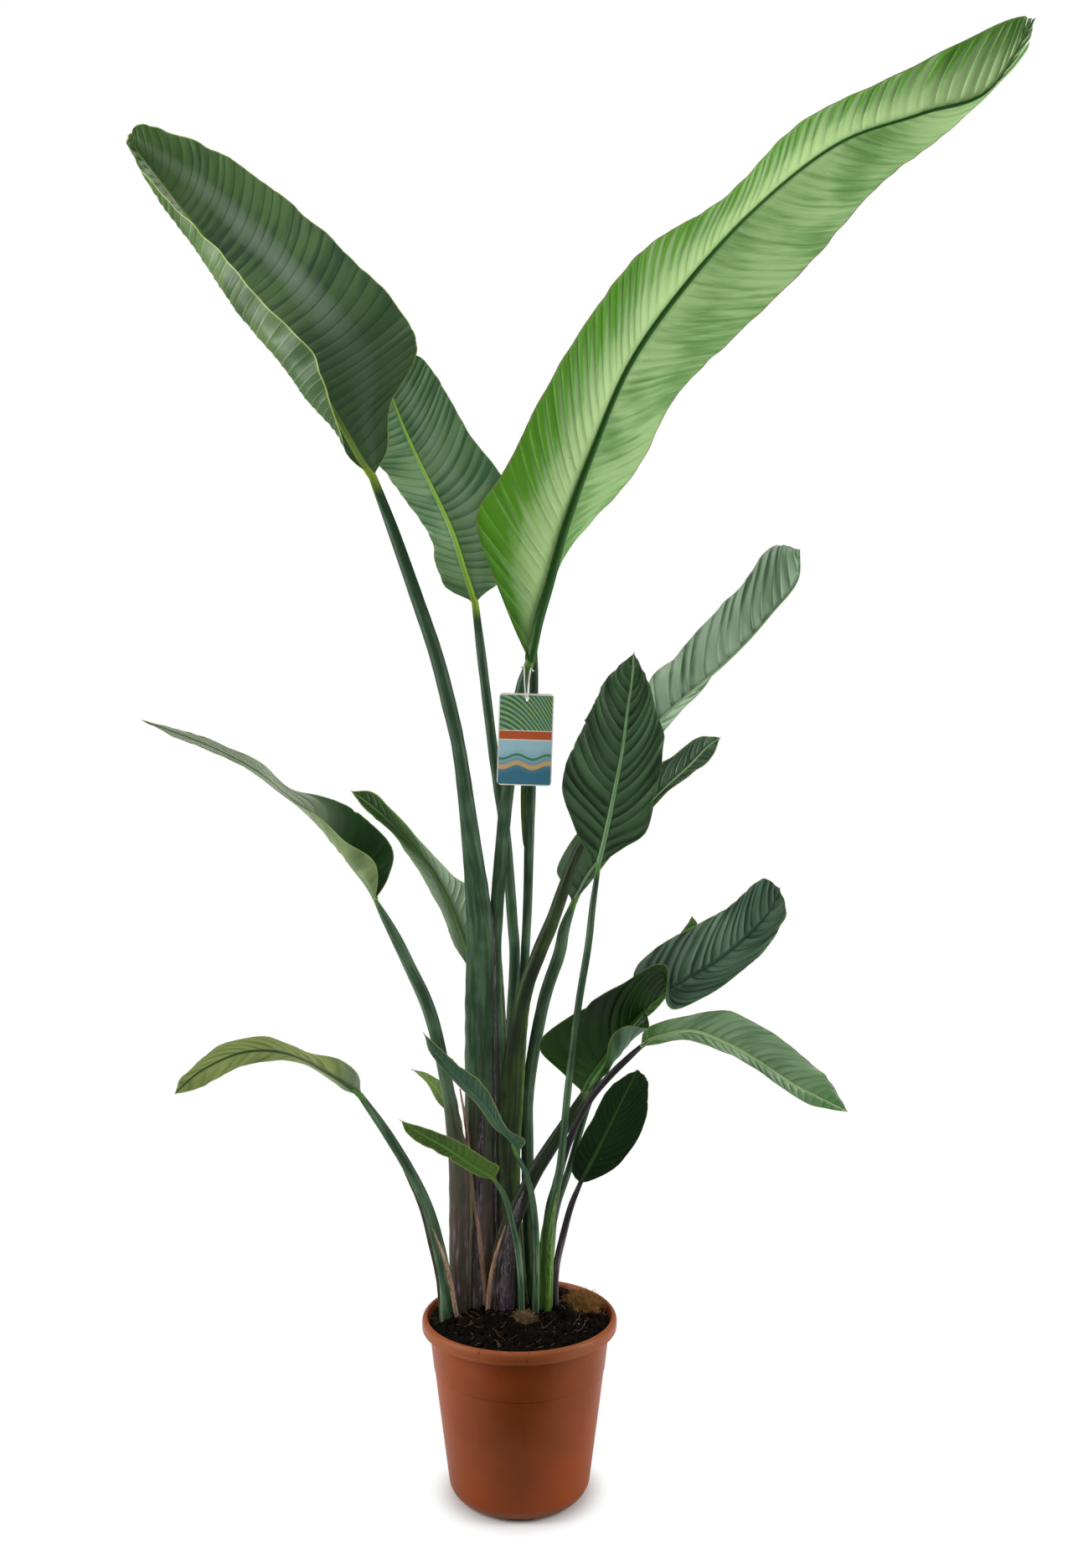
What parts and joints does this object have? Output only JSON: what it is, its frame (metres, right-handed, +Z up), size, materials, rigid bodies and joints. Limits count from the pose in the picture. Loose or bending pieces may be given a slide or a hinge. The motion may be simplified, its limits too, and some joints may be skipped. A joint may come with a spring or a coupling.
{
  "type": "potted bird of paradise plant",
  "caption": "Tall potted bird of paradise house plant: a fan of long-stalked paddle leaves rooted in a tapered nursery pot, with a plain hang tag.",
  "frame": {"origin": "middle of the pot's underside, on the surface that it stands on", "axes": "+Z up along the pot's axis; -Y towards the front, the side that the tag faces; +X to the right seen from the front, along the fan of leaves"},
  "size_m": [1.158, 0.2621, 1.8324],
  "materials": {
    "pot_plastic": "satin",
    "peat_soil": "matte",
    "leaf_blade": "satin",
    "leaf_stalk": "satin",
    "dry_husk": "matte",
    "moss": "matte",
    "tag_card": "gloss",
    "tag_string": "matte"
  },
  "bodies": {
    "root": {"pot": "pot_plastic", "soil": "peat_soil", "leaf_upper_left_blade": "leaf_blade", "leaf_upper_left_stalk": "leaf_stalk", "leaf_upper_middle_blade": "leaf_blade", "leaf_upper_middle_stalk": "leaf_stalk", "leaf_upper_right_blade": "leaf_blade", "leaf_upper_right_stalk": "leaf_stalk", "leaf_young_spear_blade": "leaf_blade", "leaf_young_spear_stalk": "leaf_stalk", "leaf_right_upright_blade": "leaf_blade", "leaf_right_upright_stalk": "leaf_stalk", "leaf_right_rolled_blade": "leaf_blade", "leaf_right_rolled_stalk": "leaf_stalk", "leaf_right_slender_blade": "leaf_blade", "leaf_right_slender_stalk": "leaf_stalk", "leaf_right_twisted_blade": "leaf_blade", "leaf_right_twisted_stalk": "leaf_stalk", "leaf_right_drooping_blade": "leaf_blade", "leaf_right_drooping_stalk": "leaf_stalk", "leaf_right_hidden_blade": "leaf_blade", "leaf_right_hidden_stalk": "leaf_stalk", "leaf_low_right_blade": "leaf_blade", "leaf_low_right_stalk": "leaf_stalk", "leaf_left_twisted_blade": "leaf_blade", "leaf_left_twisted_stalk": "leaf_stalk", "leaf_left_inner_blade": "leaf_blade", "leaf_left_inner_stalk": "leaf_stalk", "leaf_left_arching_blade": "leaf_blade", "leaf_left_arching_stalk": "leaf_stalk", "leaf_small_crossing_blade": "leaf_blade", "leaf_small_crossing_stalk": "leaf_stalk", "leaf_small_front_blade": "leaf_blade", "leaf_small_front_stalk": "leaf_stalk", "leaf_small_left_blade": "leaf_blade", "leaf_small_left_stalk": "leaf_stalk", "dry_husk_left": "dry_husk", "dry_husk_middle": "dry_husk", "dry_husk_front": "dry_husk", "moss_clump_right": "moss", "moss_clump_front": "moss", "tag": "tag_card", "tag_string": "tag_string"}
  },
  "joints": []
}
